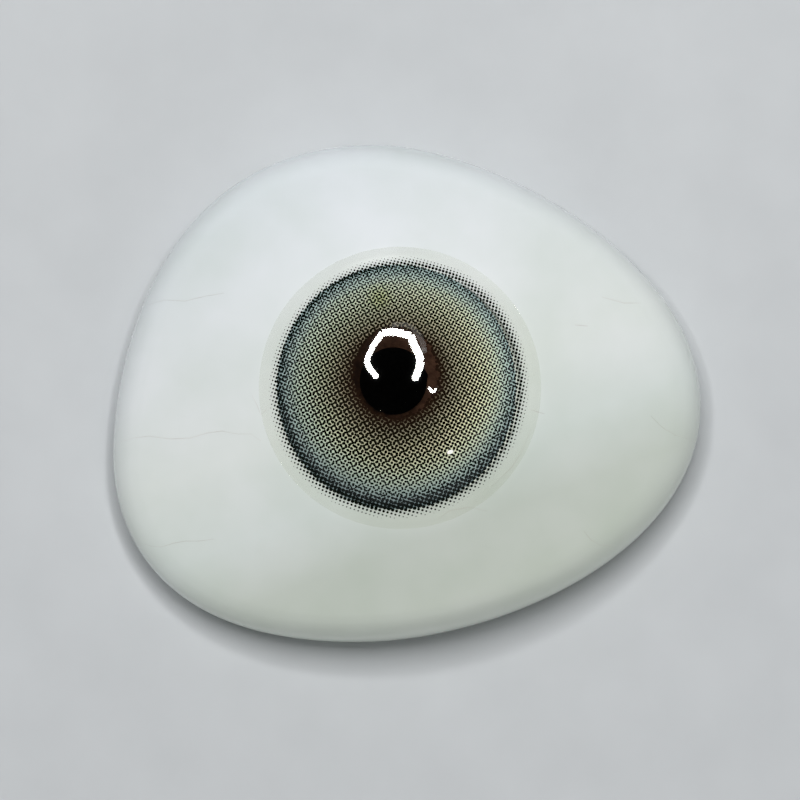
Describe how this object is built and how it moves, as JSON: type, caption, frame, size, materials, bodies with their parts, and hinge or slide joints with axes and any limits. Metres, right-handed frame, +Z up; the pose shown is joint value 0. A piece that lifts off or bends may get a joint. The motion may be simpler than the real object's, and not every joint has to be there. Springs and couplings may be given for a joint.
{
  "type": "colored contact lens on an artificial eye",
  "caption": "Soft colored contact lens with a ring print, lying on a hollow, egg-shaped white artificial eye that has a brown iris and a clear cornea.",
  "frame": {"origin": "on the rim plane, under the middle of the outline", "axes": "+Z up along the optical axis, towards the cornea; +X towards the narrow end of the outline; +Y towards its upper edge"},
  "size_m": [0.0296, 0.025, 0.0091],
  "materials": {
    "white_acrylic": "polished white acrylic, faintly green and blue",
    "iris_paint": "dark brown iris paint on an acrylic disc",
    "pupil_paint": "black",
    "clear_acrylic": "clear polished acrylic",
    "olive_ink": "dotted olive and yellow-green lens ink",
    "teal_ink": "dotted grey-teal lens ink",
    "limbal_ink": "dense blue-black lens ink",
    "hydrogel": "clear wet hydrogel"
  },
  "bodies": {
    "root": {"sclera_shell": "white_acrylic", "iris_disc": "iris_paint", "pupil_disc": "pupil_paint", "cornea": "clear_acrylic", "olive_print": "olive_ink", "teal_print": "teal_ink", "limbal_print": "limbal_ink", "contact_lens": "hydrogel"}
  },
  "joints": []
}
